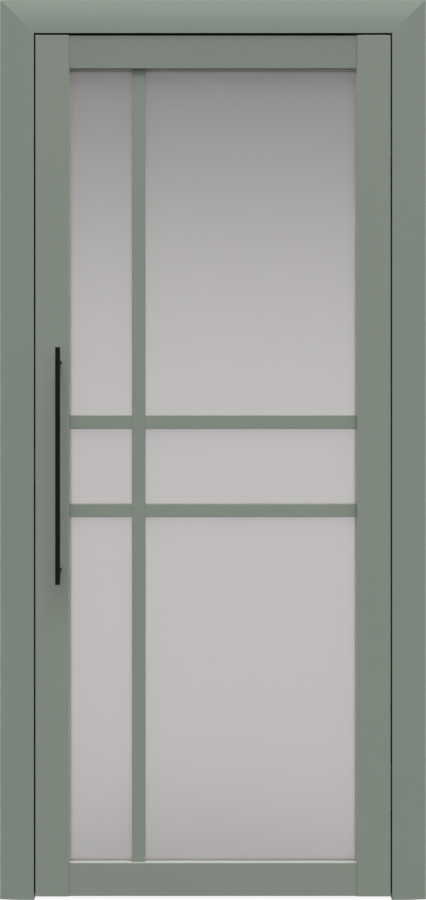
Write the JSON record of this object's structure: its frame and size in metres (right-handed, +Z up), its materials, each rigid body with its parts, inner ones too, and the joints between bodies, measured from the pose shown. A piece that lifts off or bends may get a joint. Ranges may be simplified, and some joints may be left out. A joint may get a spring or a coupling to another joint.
{
  "type": "glazed interior door with frame",
  "caption": "Flush interior door in a cased frame: sage painted leaf with frosted panes between glazing bars, slim black bar pulls, magnetic catch and concealed hinges with linked arms.",
  "frame": {"origin": "on the finished floor, at the middle of the set's width and the middle of its depth, from the front of the pull to the rear casing", "axes": "+X across the doorway from the lock side to the hinge side, +Y from the front to the rear, +Z up"},
  "size_m": [0.991, 0.176, 2.092],
  "materials": {
    "frame_paint": "satin sage paint on a wood-based board",
    "leaf_paint": "satin sage paint on a wood-based board",
    "frosted_glass": "frosted, satin",
    "black_handle": "matt black powder coat",
    "soft_seal": "matt",
    "pale_gasket": "pale, half clear silicone",
    "beech_dowel": "bare",
    "cast_housing": "satin die casting",
    "magnet_face": "dark grey",
    "plain_steel": "bright zinc"
  },
  "bodies": {
    "frame": {"jamb_lock_side": "frame_paint", "jamb_hinge_side": "frame_paint", "frame_head": "frame_paint", "frame_corner_screws": "plain_steel", "catch_keep": "plain_steel", "catch_keep_screws": "plain_steel", "casing_front_left": "frame_paint", "casing_front_right": "frame_paint", "casing_front_head": "frame_paint", "casing_rear_left": "frame_paint", "casing_rear_right": "frame_paint", "casing_rear_head": "frame_paint", "seal_left": "soft_seal", "seal_right": "soft_seal", "seal_head": "soft_seal", "hinge_top_frame_housing": "cast_housing", "hinge_bottom_frame_housing": "cast_housing", "hinge_frame_pins": "plain_steel", "hinge_frame_screws": "plain_steel"},
    "leaf": {"stile_lock_side": "leaf_paint", "stile_hinge_side": "leaf_paint", "rail_top": "leaf_paint", "rail_bottom": "leaf_paint", "glazing_bar_upright": "leaf_paint", "rail_dowels": "beech_dowel", "glazing_bar_upper_left": "leaf_paint", "glazing_bar_upper_right": "leaf_paint", "glazing_bar_lower_left": "leaf_paint", "glazing_bar_lower_right": "leaf_paint", "pane_upper_left": "frosted_glass", "pane_upper_right": "frosted_glass", "pane_middle_left": "frosted_glass", "pane_middle_right": "frosted_glass", "pane_lower_left": "frosted_glass", "pane_lower_right": "frosted_glass", "glazing_gaskets": "pale_gasket", "handle_bar_front": "black_handle", "handle_bar_rear": "black_handle", "handle_posts_front": "black_handle", "handle_posts_rear": "black_handle", "handle_studs": "plain_steel", "catch_case": "cast_housing", "catch_magnet": "magnet_face", "catch_screws": "plain_steel", "hinge_top_leaf_housing": "cast_housing", "hinge_bottom_leaf_housing": "cast_housing", "hinge_leaf_pins": "plain_steel", "hinge_leaf_screws": "plain_steel"},
    "top_frame_arm": {"hinge_top_frame_arm": "plain_steel"},
    "top_leaf_arm": {"hinge_top_leaf_arm": "plain_steel"},
    "bottom_frame_arm": {"hinge_bottom_frame_arm": "plain_steel"},
    "bottom_leaf_arm": {"hinge_bottom_leaf_arm": "plain_steel"}
  },
  "joints": [
    {"name": "door_swing", "type": "hinge", "parent": "frame", "child": "leaf", "pos_m": [0.414, -0.042, 1.008], "axis": [0, 0, 1], "range_deg": [0, 90]},
    {"name": "top_frame_arm_turn", "type": "hinge", "parent": "frame", "child": "top_frame_arm", "pos_m": [0.421, -0.0285, 1.758], "axis": [0, 0, 1], "range_deg": [0, 90]},
    {"name": "top_leaf_arm_turn", "type": "hinge", "parent": "leaf", "child": "top_leaf_arm", "pos_m": [0.407, -0.0285, 1.758], "axis": [0, 0, 1], "range_deg": [-90, 0]},
    {"name": "bottom_frame_arm_turn", "type": "hinge", "parent": "frame", "child": "bottom_frame_arm", "pos_m": [0.421, -0.0285, 0.258], "axis": [0, 0, 1], "range_deg": [0, 90]},
    {"name": "bottom_leaf_arm_turn", "type": "hinge", "parent": "leaf", "child": "bottom_leaf_arm", "pos_m": [0.407, -0.0285, 0.258], "axis": [0, 0, 1], "range_deg": [-90, 0]}
  ],
  "couplings": [
    {"joint": "top_frame_arm_turn", "follows": "door_swing", "ratio": 1},
    {"joint": "top_leaf_arm_turn", "follows": "door_swing", "ratio": -1},
    {"joint": "bottom_frame_arm_turn", "follows": "door_swing", "ratio": 1},
    {"joint": "bottom_leaf_arm_turn", "follows": "door_swing", "ratio": -1}
  ]
}
